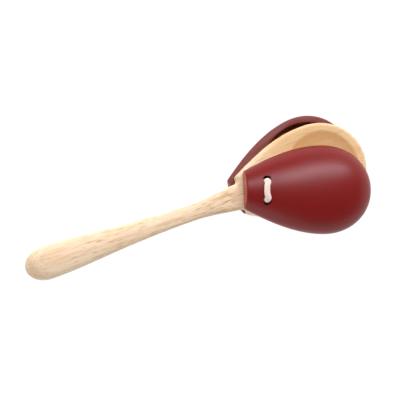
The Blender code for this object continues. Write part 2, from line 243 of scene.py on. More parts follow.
def pale_hardwood():
    """Rubberwood, turned, sanded and sealed with a thin satin varnish.

    The eye gets a cream ground, faint growth bands, silky fibres and thin brown pore lines that all run
    with the handle, and a soft sheen without a clear reflection. The handle is flecked where it swells
    towards the neck, and its pores are most open from the waist on. The paddle is tinted peach with
    painted warm bounce light from the red shells and painted shade. Its dish is painted golden with
    shade and warm bounce light, deeper towards its middle. The paddle's tip has brown end grain, deepened
    with painted shade where its faces turn to +X, and faces turned towards the butt are a little darker.
    Real pores are about 0.2 mm wide, too fine to show, so they are drawn at 0.55 mm.
    """
    material, tree = new_material("sanded_rubberwood")
    surface = add_node(tree, "ShaderNodeTexCoord").outputs
    along = add_node(tree, "ShaderNodeSeparateXYZ", {0: surface["Object"]}).outputs["X"]
    tipwards = add_node(tree, "ShaderNodeSeparateXYZ", {0: surface["Normal"]}).outputs["X"]
    across_dish = add_node(tree, "ShaderNodeMapping", {
        "Vector": surface["Object"], "Location": (-NECK_X - DISH_FROM_NECK, 0.0, 0.0),
        "Scale": (1.0, 1.0, 0.0)})
    from_dish = add_node(tree, "ShaderNodeVectorMath", {
        0: across_dish.outputs[0]}, operation='LENGTH').outputs["Value"]
    dish_edge = DISH_DIAMETER / 2

    mottle = grain_pattern(tree, 45 * mm, 7 * mm, 2.0)
    bands = grain_pattern(tree, 120 * mm, 2.6 * mm, 1.0)
    fibres = grain_pattern(tree, 16 * mm, 0.8 * mm, 3.0)
    pores = grain_pattern(tree, 9 * mm, 0.55 * mm, 1.0)
    flecks = grain_pattern(tree, 5 * mm, 1.3 * mm, 2.0)
    blotches = grain_pattern(tree, 26 * mm, 7 * mm, 2.0)
    pore_start, pore_end = 0.58, 0.74

    cream = add_node(tree, "ShaderNodeMix", {
        0: mottle, 6: linear("#fce8cb"), 7: linear("#f6debd")}, data_type='RGBA').outputs[2]
    colour = stained(tree, cream, linear("#e6c08a"), bands, 0.35, 0.7, 0.35)
    colour = stained(tree, colour, linear("#ddb57e"), fibres, 0.42, 0.72, 0.5)
    swell = stretch_of_wood(tree, along, (-28 * mm, -14 * mm, 0.5), (-8 * mm, -1 * mm, 0.5))
    colour = stained(tree, colour, linear("#cda26a"), flecks, 0.42, 0.6, swell)
    # Peach tint over the paddle: painted warm bounce light from the red shells and painted shade.
    red_bounce_tint = stained(tree, linear("#f0cf98"), linear("#eac184"), blotches, 0.35, 0.65)
    colour = stained(tree, colour, red_bounce_tint, along, NECK_X + 2 * mm, NECK_X + 26 * mm, 0.8)
    # Golden dish: painted shade and warm bounce light in the recess, deepening towards its middle.
    dish_shade_share = add_node(tree, "ShaderNodeMapRange", {
        "Value": from_dish, "From Min": dish_edge - 8 * mm, "From Max": dish_edge - 1 * mm,
        "To Min": 0.38, "To Max": 0.68}, interpolation_type='SMOOTHSTEP').outputs[0]
    dish_shade_colour = linear("#d8a05a")
    colour = stained(tree, colour, dish_shade_colour, from_dish, dish_edge + 0.3 * mm, dish_edge - 1.3 * mm, dish_shade_share)
    # Brown end grain at the paddle's tip, deepened with painted shade where faces turn to +X.
    colour = stained(tree, colour, linear("#ad8258"), tipwards, 0.5, 0.95, 0.75)
    colour = stained(tree, colour, linear("#cdb08c"), tipwards, -0.15, -0.9, 0.45)
    opened = stretch_of_wood(tree, along, (-75 * mm, -45 * mm, 0.4), (-4 * mm, 6 * mm, 0.45))
    openness = add_node(tree, "ShaderNodeMath", {0: opened, 1: 0.5}, operation='ADD').outputs[0]
    colour = stained(tree, colour, linear("#b68a54"), pores, pore_start, pore_end, openness)

    gloss = add_node(tree, "ShaderNodeMapRange", {"Value": fibres, "To Min": 0.46, "To Max": 0.62})
    lines = add_node(tree, "ShaderNodeMapRange", {
        "Value": pores, "From Min": pore_start, "From Max": pore_end}, interpolation_type='SMOOTHSTEP')
    height = add_node(tree, "ShaderNodeMath", {0: fibres, 1: lines.outputs[0]}, operation='SUBTRACT')
    bump = add_node(tree, "ShaderNodeBump", {
        "Height": height.outputs[0], "Strength": 0.3, "Distance": 0.05 * mm})
    shader = add_node(tree, "ShaderNodeBsdfPrincipled", {
        "Base Color": colour, "Roughness": gloss.outputs[0], "Normal": bump.outputs[0],
        "IOR": 1.5, "Specular IOR Level": 0.35, "Diffuse Roughness": 0.65})
    add_node(tree, "ShaderNodeOutputMaterial", {"Surface": shader.outputs[0]})
    return material


def red_lacquer():
    """Dark red nitrocellulose lacquer, sprayed over sanded hardwood and left satin.

    The eye gets a deep brick red with long soft highlights, slight clouding in the colour, and the
    wood's long pores just showing through as fine darker dents. The rim is a greyish brown of painted
    reflection of the white room and painted shade under the paddle, and the hollow a lighter brown of
    painted warm bounce light from the wood. The front shell's neck face is a smoother salmon red of
    painted reflection of the handle's wood and of light from the butt's side.
    """
    material, tree = new_material("satin_red_lacquer")
    light_zone = add_node(tree, "ShaderNodeAttribute", attribute_name="painted_light_zone").outputs["Fac"]
    cloud = grain_pattern(tree, 16 * mm, 7 * mm, 3.0)
    pores = grain_pattern(tree, 6 * mm, 0.6 * mm, 2.0)
    peel = grain_pattern(tree, 1.2 * mm, 1.2 * mm, 1.0)
    pore_start, pore_end = 0.58, 0.75

    colour = add_node(tree, "ShaderNodeMix", {
        0: cloud, 6: linear("#831815"), 7: linear("#781512")}, data_type='RGBA').outputs[2]
    # Rim: painted reflection of the white room and painted shade under the paddle.
    colour = stained(tree, colour, linear("#74322b"), light_zone, DOME_ZONE, RIM_ZONE)
    # Hollow: painted warm bounce light from the wood.
    colour = stained(tree, colour, linear("#8e4a38"), light_zone, RIM_ZONE, HOLLOW_ZONE)
    # Front neck face: painted reflection of the handle's wood and of light from the butt's side.
    neck_reflection = stained(tree, linear("#ac4a39"), linear("#9c4032"), cloud, 0.4, 0.6)
    colour = stained(tree, colour, neck_reflection, light_zone, HOLLOW_ZONE, NECK_ZONE)
    colour = stained(tree, colour, linear("#560d0a"), pores, pore_start, pore_end, 0.25)

    gloss = add_node(tree, "ShaderNodeMapRange", {"Value": cloud, "To Min": 0.35, "To Max": 0.42})
    sanded = add_node(tree, "ShaderNodeMapRange", {
        "Value": light_zone, "From Min": HOLLOW_ZONE, "From Max": NECK_ZONE, "To Max": 0.2},
        interpolation_type='SMOOTHSTEP')
    roughness = add_node(tree, "ShaderNodeMath", {
        0: gloss.outputs[0], 1: sanded.outputs[0]}, operation='SUBTRACT')
    waves = add_node(tree, "ShaderNodeMath", {0: peel, 1: 0.3}, operation='MULTIPLY')
    dents = add_node(tree, "ShaderNodeMapRange", {
        "Value": pores, "From Min": pore_start, "From Max": pore_end}, interpolation_type='SMOOTHSTEP')
    height = add_node(tree, "ShaderNodeMath", {
        0: waves.outputs[0], 1: dents.outputs[0]}, operation='SUBTRACT')
    bump = add_node(tree, "ShaderNodeBump", {
        "Height": height.outputs[0], "Strength": 0.25, "Distance": 0.03 * mm})
    shader = add_node(tree, "ShaderNodeBsdfPrincipled", {
        "Base Color": colour, "Roughness": roughness.outputs[0], "Normal": bump.outputs[0], "IOR": 1.40})
    add_node(tree, "ShaderNodeOutputMaterial", {"Surface": shader.outputs[0]})
    return material


def white_elastic():
    """Cotton yarn braided over rubber thread: matt, off-white and a little fuzzy, with uneven whiteness."""
    material, tree = new_material("braided_cotton_elastic")
    fuzz = grain_pattern(tree, 0.5 * mm, 0.5 * mm, 3.0)
    colour = add_node(tree, "ShaderNodeMix", {
        0: fuzz, 6: linear("#fae8da"), 7: linear("#efd7c7")}, data_type='RGBA').outputs[2]
    bump = add_node(tree, "ShaderNodeBump", {"Height": fuzz, "Strength": 0.4, "Distance": 0.08 * mm})
    shader = add_node(tree, "ShaderNodeBsdfPrincipled", {
        "Base Color": colour, "Roughness": 0.85, "Normal": bump.outputs[0],
        "Sheen Weight": 0.25, "Sheen Roughness": 0.5, "IOR": 1.45})
    add_node(tree, "ShaderNodeOutputMaterial", {"Surface": shader.outputs[0]})
    return material


def hermite(x, start, end):
    """Cubic between two (x, value, slope) points."""
    (x0, y0, m0), (x1, y1, m1) = start, end
    span = x1 - x0
    t = (x - x0) / span
    rise = (2 * t**3 - 3 * t**2 + 1) * y0 + (3 * t**2 - 2 * t**3) * y1
    return rise + span * ((t**3 - 2 * t**2 + t) * m0 + (t**3 - t**2) * m1)


def soft_min(a, b, softness):
    """The lesser of two heights, with the corner between them rounded off."""
    return (a + b - math.sqrt((a - b) ** 2 + softness**2)) / 2


def half_width(x, lip=0.0, neck_lip=0.0):
    """Half the head's width at x from the neck, with its edge moved out by lip, and by neck_lip there."""
    widest = HEAD_WIDTH / 2 + lip
    if x <= WIDEST_FROM_NECK:
        neck = (0.0, NECK_WIDTH / 2 + neck_lip, NECK_FLARE)
        return hermite(x, neck, (WIDEST_FROM_NECK, widest, 0.0))
    reach = (x - WIDEST_FROM_NECK) / (HEAD_LENGTH + lip - WIDEST_FROM_NECK)
    return widest * max(0.0, 1 - reach**NOSE_EXPONENT) ** (1 / NOSE_EXPONENT)


def dome_height(x):
    """Height of the shell's ridge above its rim at x from the neck."""
    if x <= WIDEST_FROM_NECK:
        rise = math.sin(math.pi / 2 * x / WIDEST_FROM_NECK)
        return NECK_DOME_HEIGHT + (DOME_HEIGHT - NECK_DOME_HEIGHT) * rise
    reach = (x - WIDEST_FROM_NECK) / (HEAD_LENGTH - WIDEST_FROM_NECK)
    return DOME_HEIGHT * math.sqrt(max(0.0, 1 - reach**2))


def ridge_slope(x):
    """Rise of the shell's ridge for each unit along it, at x from the neck."""
    return (dome_height(x + SLOPE_STEP) - dome_height(x)) / SLOPE_STEP


def dome_surface(x, y):
    """Height of the shell's outside above its rim."""
    return dome_height(x) * math.sqrt(max(0.0, 1 - (y / half_width(x)) ** 2))


def outline_half(lip=0.0, neck_lip=0.0):
    """(x, y) points along the left edge of the head, from the neck's corner to the tip."""
    flank = [WIDEST_FROM_NECK * i / FLANK_STEPS for i in range(FLANK_STEPS)]
    points = [(x, half_width(x, lip, neck_lip)) for x in flank]
    nose = HEAD_LENGTH + lip - WIDEST_FROM_NECK
    half = NOSE_STEPS // 2
    for i in range(half + 1):
        turn = math.pi / 2 * i / half
        power = 2 / NOSE_EXPONENT
        x = WIDEST_FROM_NECK + nose * math.sin(turn) ** power
        points.append((x, (HEAD_WIDTH / 2 + lip) * max(0.0, math.cos(turn)) ** power))
    return points


def loft(bm, rings, closed):
    """Quads between rings of vertices that have the same number of points."""
    for low, high in zip(rings, rings[1:]):
        count = len(low)
        for i in range(count if closed else count - 1):
            j = (i + 1) % count
            bm.faces.new((low[i], low[j], high[j], high[i]))


def cap_to_point(bm, ring, point):
    """Triangles from a closed ring to one point."""
    tip = bm.verts.new(point)
    for i in range(len(ring)):
        bm.faces.new((ring[i], ring[(i + 1) % len(ring)], tip))


def mesh_object(name, bm):
    """An object from a bmesh, with doubles merged and faces turned outwards."""
    bmesh.ops.remove_doubles(bm, verts=bm.verts, dist=1e-7)
    bmesh.ops.recalc_face_normals(bm, faces=bm.faces)
    mesh = bpy.data.meshes.new(name)
    bm.to_mesh(mesh)
    bm.free()
    obj = bpy.data.objects.new(name, mesh)
    bpy.context.scene.collection.objects.link(obj)
    return obj


def cut(obj, tool, operation='DIFFERENCE'):
    """Applies a Boolean with tool to obj, and removes tool."""
    modifier = obj.modifiers.new("cut", 'BOOLEAN')
    modifier.operation = operation
    modifier.solver = 'EXACT'
    modifier.object = tool
    bake(obj)
    bpy.data.objects.remove(tool, do_unlink=True)


def bake(obj):
    """Turns what an object's modifiers make into its own plain mesh, and removes the modifiers."""
    graph = bpy.context.evaluated_depsgraph_get()
    mesh = bpy.data.meshes.new_from_object(obj.evaluated_get(graph))
    obj.modifiers.clear()
    obj.data = mesh


def smooth(obj):
    """Shades an object smoothly, apart from its sharp edges."""
    obj.data.shade_smooth()
    obj.data.set_sharp_from_angle(angle=SHARP_ANGLE)


def dress(obj, material, slot, *nodes):
    """Gives a piece its material, and hides the solids that it stands for."""
    obj.data.materials.clear()
    obj.data.materials.append(material)
    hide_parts(*nodes)


def turned_ring(bm, x, radius):
    """A ring of vertices about the handle's axis."""
    turns = [2 * math.pi * i / TURNED_STEPS for i in range(TURNED_STEPS)]
    return [bm.verts.new((x, radius * math.cos(a), radius * math.sin(a))) for a in turns]


def level_ring(bm, z, radius, steps):
    """A ring of vertices about the Z axis."""
    turns = [2 * math.pi * i / steps for i in range(steps)]
    return [bm.verts.new((radius * math.cos(a), radius * math.sin(a), z)) for a in turns]


def handle_profile():
    """(distance from butt, radius) along the handle: bulb, taper, waist and swelling neck."""
    bulb = BULB_DIAMETER / 2
    grip = (-BUTT_X, GRIP_DIAMETER / 2)
    waist = (HANDLE_LENGTH - WAIST_FROM_NECK, WAIST_DIAMETER / 2)
    neck = (HANDLE_LENGTH, NECK_DIAMETER / 2)
    taper = (waist[1] - bulb) / (waist[0] - BULB_LENGTH)
    knots = [(BULB_LENGTH, bulb, 0.0), (*grip, taper), (*waist, 0.0), (*neck, NECK_SWELL)]
    fillet = [HANDLE_LENGTH - NECK_FILLET * (1 - math.sin(math.pi / 2 * i / ROUND_STEPS))
              for i in range(ROUND_STEPS)]
    profile = []
    for i in range(1, PROFILE_STEPS):
        turn = math.pi / 2 * i / PROFILE_STEPS
        profile.append((BULB_LENGTH * (1 - math.cos(turn)), bulb * math.sin(turn)))
    for start, end in zip(knots, knots[1:]):
        steps = [start[0] + (end[0] - start[0]) * i / PROFILE_STEPS for i in range(PROFILE_STEPS)]
        if end is knots[-1]:
            steps = [x for x in steps if x < fillet[0]] + fillet
        profile += [(x, hermite(x, start, end)) for x in steps]
    profile.append(neck)
    eased = []
    for x, radius in profile:
        reach = max(0.0, 1 - (HANDLE_LENGTH - x) / NECK_FILLET)
        eased.append((x, radius + NECK_FILLET * (1 - math.sqrt(1 - reach**2))))
    return eased + [(HANDLE_LENGTH + HANDLE_RUN_IN, neck[1])]


def make_handle():
    """The turned handle, planed flat at the neck level with the paddle's faces."""
    bm = bmesh.new()
    rings = [turned_ring(bm, BUTT_X + x, radius) for x, radius in handle_profile()]
    loft(bm, rings, closed=True)
    cap_to_point(bm, rings[0], (BUTT_X, 0, 0))
    cap_to_point(bm, rings[-1], (NECK_X + HANDLE_RUN_IN, 0, 0))
    flat = PADDLE_THICKNESS / 2 - FLAT_SOFTNESS
    for vert in bm.verts:
        if vert.co.x > NECK_X - WAIST_FROM_NECK:
            level = soft_min(abs(vert.co.z), flat, FLAT_SOFTNESS)
            vert.co.z = math.copysign(level, vert.co.z)
    return mesh_object("handle_and_paddle", bm)


def paddle_outline():
    """Closed (x, y) outline of the paddle from its neck, with the neck's corners eased."""
    half = [p for p in outline_half(PADDLE_LIP, PADDLE_NECK_LIP) if p[0] > 2 * PADDLE_NECK_CORNER]
    corner = NECK_WIDTH / 2 + PADDLE_NECK_LIP
    start = (0.0, corner - PADDLE_NECK_CORNER)
    eased = []
    for i in range(ROUND_STEPS + 1):
        t = i / (ROUND_STEPS + 1)
        x = t**2 * half[0][0]
        y = (1 - t) ** 2 * start[1] + 2 * t * (1 - t) * corner + t**2 * half[0][1]
        eased.append((x, y))
    across = [(0.0, start[1] * i / ROUND_STEPS) for i in range(ROUND_STEPS)]
    left = across + eased + half
    right = [(x, -y) for x, y in reversed(left[1:-1])]
    return left + right


def inset(point, depth):
    """A point of the head's outline moved inwards by depth, towards the line through its middle."""
    x, y = point
    middle = min(max(x, SOLID_NECK), WIDEST_FROM_NECK)
    away = math.hypot(x - middle, y)
    return x + (middle - x) * depth / away, y - y * depth / away


def edge_round(x):
    """Radius of the paddle's rounded edge at x from the neck, where it is almost sharp."""
    share = min(max(x / LACING_FROM_NECK, 0.0), 1.0)
    return PADDLE_NECK_ROUND + (PADDLE_EDGE_ROUND - PADDLE_NECK_ROUND) * share


def dished_height(radius):
    """Height of the paddle's face at a radius from the middle of its dish, with a soft edge."""
    ball = (DISH_DIAMETER**2 / 4 + DISH_DEPTH**2) / (2 * DISH_DEPTH)
    bowl = PADDLE_THICKNESS / 2 - DISH_DEPTH + ball - math.sqrt(ball**2 - radius**2)
    return soft_min(bowl, PADDLE_THICKNESS / 2, DISH_EDGE_SOFTNESS)


def paddle_face(outline):
    """Rings of points over the paddle's upper half, from its waist line to the middle of the dish."""
    rings = [[(x, y, 0.0) for x, y in outline]]
    for i in range(ROUND_STEPS + 1):
        turn = math.pi / 2 * i / ROUND_STEPS
        ring = []
        for point in outline:
            soft = edge_round(point[0])
            z = PADDLE_THICKNESS / 2 - soft * (1 - math.sin(turn))
            ring.append((*inset(point, soft * (1 - math.cos(turn))), z))
        rings.append(ring)
    top_edge = rings[-1]
    lip = DISH_DIAMETER / 2 + 2 * DISH_EDGE_SOFTNESS
    turns = [math.atan2(y, x - DISH_FROM_NECK) for x, y, _ in top_edge]
    circle = [(DISH_FROM_NECK + lip * math.cos(a), lip * math.sin(a)) for a in turns]
    for i in range(1, ROUND_STEPS):
        share = i / ROUND_STEPS
        ring = []
        for (x, y, _), (u, v) in zip(top_edge, circle):
            px, py = x + (u - x) * share, y + (v - y) * share
            ring.append((px, py, dished_height(math.hypot(px - DISH_FROM_NECK, py))))
        rings.append(ring)
    for i in range(DISH_RINGS):
        radius = lip * (1 - (i / DISH_RINGS) ** DISH_CROWDING)
        z = dished_height(radius)
        ring = [(DISH_FROM_NECK + radius * math.cos(a), radius * math.sin(a), z) for a in turns]
        rings.append(ring)
    return rings


def make_paddle():
    """The paddle, dished on both faces, with a rounded edge."""
    outline = paddle_outline()
    upper = paddle_face(outline)
    bm = bmesh.new()
    levels = list(reversed(upper)) + [[(x, y, -z) for x, y, z in ring] for ring in upper[1:]]
    rings = [[bm.verts.new((NECK_X + x, y, z)) for x, y, z in level] for level in levels]
    loft(bm, rings, closed=True)
    for ring, sign in ((rings[0], 1), (rings[-1], -1)):
        cap_to_point(bm, ring, (NECK_X + DISH_FROM_NECK, 0, sign * dished_height(0.0)))
    return mesh_object("paddle_blank", bm)


def flared_rod(name, radius, low, high, edge):
    """A round cutter about Z from low to high, which widens at both ends to ease a hole's edges."""
    bm = bmesh.new()
    profile = [(low - edge, radius + edge)]
    for i in range(ROUND_STEPS + 1):
        turn = math.pi / 2 * i / ROUND_STEPS
        profile.append((low + edge * math.sin(turn), radius + edge * (1 - math.sin(turn))))
    profile += [(low + high - z, r) for z, r in reversed(profile)]
    rings = [level_ring(bm, z, r, HOLE_STEPS) for z, r in profile]
    loft(bm, rings, closed=True)
    bm.faces.new(rings[0])
    bm.faces.new(rings[-1])
    return mesh_object(name, bm)


def lacing_frame(swivel, clap, facing):
    """Place of a shell: its swivel axis on the paddle's mid plane, with Z out of that face."""
    hinge = Vector(joints[clap]["axis"]) * facing
    fan = math.atan2(hinge.x, -hinge.y)
    flip = Matrix.Rotation(math.pi if facing < 0 else 0.0, 4, 'X')
    return Matrix.Translation(joints[swivel]["pos_m"]) @ Matrix.Rotation(fan, 4, 'Z') @ flip


def hole_y(side):
    """Y of a shell's lacing hole, drilled a little to one side of the shell's middle."""
    return LACING_OFFSET + side * LACING_SPACING / 2


def lacing_points(place):
    """World places of a shell's two lacing holes on the mid plane, left in the world first."""
    holes = [place @ Vector((0, hole_y(side), 0)) for side in (1, -1)]
    return sorted(holes, key=lambda hole: -hole.y)


def make_handle_and_paddle(material, front, back):
    """Handle and paddle in one, with lacing holes long enough for the elastic when a shell fans out."""
    piece = make_handle()
    cut(piece, make_paddle(), 'UNION')
    pairs = list(zip(lacing_points(front), lacing_points(back)))
    x = sum(near.x + far.x for near, far in pairs) / (2 * len(pairs))
    half = PADDLE_THICKNESS / 2
    stretch = Matrix.Diagonal((PADDLE_HOLE_STRETCH, 1, 1, 1))
    for near, far in pairs:
        hole = flared_rod("paddle_hole", PADDLE_HOLE_DIAMETER / 2, -half, half, PADDLE_HOLE_EDGE)
        y = (near.y + far.y) / 2
        hole.data.transform(Matrix.Translation((x, y, 0)) @ stretch)
        cut(piece, hole)
    smooth(piece)
    dress(piece, material, "pale_hardwood", "handle_with_paddle")
    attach(piece, "handle")


def dome_column(reach, width, height, fullness=0.0):
    """(share of reach, height) points up one side of the dome: eased rim edge, then a quarter ellipse.

    Fullness swells the ellipse out towards a square.
    """
    edge = min(RIM_EDGE_ROUND, height / 3, width / 3)
    rim_steps = ROUND_STEPS // 2
    power = 2 / (2 + fullness)
    column = []
    for i in range(rim_steps + 1):
        turn = math.pi / 2 * i / rim_steps
        column.append((1 - edge * (1 - math.sin(turn)) / reach, edge * (1 - math.cos(turn))))
    for i in range(1, DOME_ROWS + 1):
        turn = math.pi / 2 * i / DOME_ROWS
        share = max(0.0, math.cos(turn)) ** power
        column.append((share, edge + (height - edge) * math.sin(turn) ** power))
    return column


def make_dome():
    """A shell before it is scooped out: eased rim, elliptical sections, straight-cut neck."""
    bm = bmesh.new()
    stations = []
    for i in range(ROUND_STEPS + 1):
        turn = math.pi / 2 * i / ROUND_STEPS
        x = NECK_EDGE_ROUND * (1 - math.cos(turn))
        stations.append((x, NECK_EDGE_ROUND * (1 - math.sin(turn))))
    flank = [WIDEST_FROM_NECK * i / FLANK_STEPS for i in range(FLANK_STEPS)]
    stations += [(x, 0.0) for x in flank if x > 1.5 * NECK_EDGE_ROUND]
    left, right = [], []
    for x, eased in stations:
        width, height = half_width(x) - eased, dome_height(x) - eased
        column = dome_column(width, width, height)
        left.append([bm.verts.new((x, width * share, z)) for share, z in column])
        right.append([bm.verts.new((x, -width * share, z)) for share, z in column])
    nose = []
    tip = outline_half()[FLANK_STEPS:]
    round_nose = tip + [(x, -y) for x, y in reversed(tip[:-1])]
    for x, y in round_nose:
        along = x - WIDEST_FROM_NECK
        reach = math.hypot(along, y)
        fullness = NOSE_FULLNESS * (along / reach) ** 2
        column = dome_column(reach, HEAD_WIDTH / 2, DOME_HEIGHT, fullness)
        points = [(WIDEST_FROM_NECK + along * share, y * share, z) for share, z in column]
        nose.append([bm.verts.new(point) for point in points])
    columns = left + nose + list(reversed(right))
    loft(bm, columns, closed=False)
    rim = bm.faces.new([column[0] for column in columns])
    neck = bm.faces.new(left[0] + list(reversed(right[0])))
    # The rim is marked for painted reflection and shade, and the neck's cut face for painted reflection.
    rim.material_index = RIM_ZONE
    neck.material_index = NECK_ZONE
    return mesh_object("shell_blank", bm)


def make_hollow():
    """The cutter for a shell's hollow: half an egg, with a mouth that eases into the rim."""
    wide = HEAD_WIDTH / 2 - RIM_WIDTH
    back = WIDEST_FROM_NECK - SOLID_NECK
    front = HEAD_LENGTH - RIM_WIDTH - WIDEST_FROM_NECK
    levels = [(1.0, HOLLOW_EDGE_ROUND, -HOLLOW_EDGE_ROUND)]
    for i in range(ROUND_STEPS):
        turn = math.pi / 2 * i / ROUND_STEPS
        flare = HOLLOW_EDGE_ROUND * (1 - math.sin(turn))
        levels.append((1.0, flare, HOLLOW_EDGE_ROUND * (1 - math.cos(turn))))
    for i in range(DOME_ROWS):
        turn = math.pi / 2 * i / DOME_ROWS
        depth = HOLLOW_EDGE_ROUND + (HOLLOW_DEPTH - HOLLOW_EDGE_ROUND) * math.sin(turn)
        levels.append((math.cos(turn), 0.0, depth))
    bm = bmesh.new()
    rings = []
    for share, flare, z in levels:
        ring = []
        for i in range(HOLLOW_STEPS):
            turn = 2 * math.pi * i / HOLLOW_STEPS
            stretch = front if math.cos(turn) > 0 else back
            x = math.cos(turn) * (stretch * share + flare)
            y = math.sin(turn) * (wide * share + flare)
            ring.append(bm.verts.new((WIDEST_FROM_NECK + x, y, z)))
        rings.append(ring)
    loft(bm, rings, closed=True)
    bm.faces.new(rings[0])
    cap_to_point(bm, rings[-1], (WIDEST_FROM_NECK, 0, HOLLOW_DEPTH))
    # Deep faces take the hollow's painted bounce light, and the eased mouth the rim's painted reflection
    # and shade.
    for face in bm.faces:
        deep = face.calc_center_median().z > HOLLOW_EDGE_ROUND
        face.material_index = HOLLOW_ZONE if deep else RIM_ZONE
    return mesh_object("hollow_cutter", bm)


def make_shell():
    """One shell with its neck edge on the Y axis and its rim on the XY plane, dome up.

    Each face gets a mark of its zone: the plain dome, or the rim, hollow or neck face with painted light.
    The marks start as material slots, which the cuts carry along.
    """
    shell = make_dome()
    hollow = make_hollow()
    for blank in (shell, hollow):
        for _ in SHELL_ZONES:
            blank.data.materials.append(None)
    cut(shell, hollow)
    for side in (1, -1):
        y = hole_y(side)
        mouth = dome_surface(LACING_FROM_NECK, y)
        for name, low, high in (("shell_hole", 0.0, mouth), ("shell_hole_top", mouth / 2, 2 * mouth)):
            hole = flared_rod(name, SHELL_HOLE_DIAMETER / 2, low, high, SHELL_HOLE_EDGE)
            hole.data.transform(Matrix.Translation((LACING_FROM_NECK, y, 0)))
            cut(shell, hole)
    smooth(shell)
    painted_light_zone = shell.data.attributes.new("painted_light_zone", 'FLOAT', 'FACE')
    for face, mark in zip(shell.data.polygons, painted_light_zone.data):
        mark.value = face.material_index
        face.material_index = 0
    return shell


def place_shell(name, shell, place, material, body, node, neck_face_zone):
    """Puts a copy of the shell in its place, with its neck's cut face in the given zone: painted reflection
    or plain lacquer.
    """
    piece = bpy.data.objects.new(name, shell.data.copy())
    bpy.context.scene.collection.objects.link(piece)
    for mark in piece.data.attributes["painted_light_zone"].data:
        if mark.value == NECK_ZONE:
            mark.value = neck_face_zone
    piece.data.transform(place @ Matrix.Translation((-LACING_FROM_NECK, 0, RIM_Z)))
    dress(piece, material, "red_lacquer", node)
    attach(piece, body)


